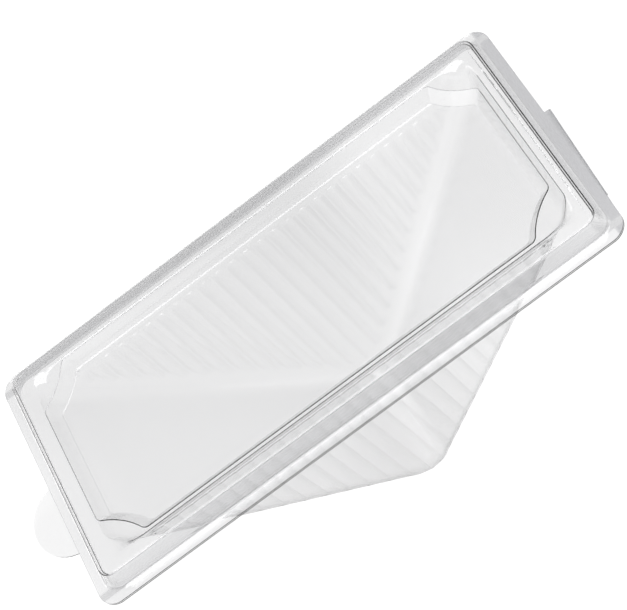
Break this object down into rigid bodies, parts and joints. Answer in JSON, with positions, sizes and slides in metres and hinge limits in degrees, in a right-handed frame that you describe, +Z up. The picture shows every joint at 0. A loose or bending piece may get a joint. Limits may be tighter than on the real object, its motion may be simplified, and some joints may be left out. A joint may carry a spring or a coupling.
{
  "type": "hinged sandwich wedge pack",
  "caption": "Clear plastic sandwich wedge: a three-cornered pocket with fluted side walls and a hinged lid whose raised frame surrounds a recessed window, with a thumb tab.",
  "frame": {"origin": "on the floor, under the middle of the closed pack's box as it stands on the tip of its tab and its rounded fold", "axes": "+Z up; +Y across the width, along the hinge, from the near side wall to the far one; +X along the floor from the thumb tab to the fold"},
  "size_m": [0.1566, 0.093, 0.1299],
  "materials": {
    "clear_sheet": "clear, glossy"
  },
  "bodies": {
    "base": {"base": "clear_sheet"},
    "lid": {"lid": "clear_sheet"}
  },
  "joints": [
    {"name": "lid_hinge", "type": "hinge", "parent": "base", "child": "lid", "pos_m": [0.0781, 0, 0.12961], "axis": [0, 1, 0], "range_deg": [0, 180]}
  ]
}
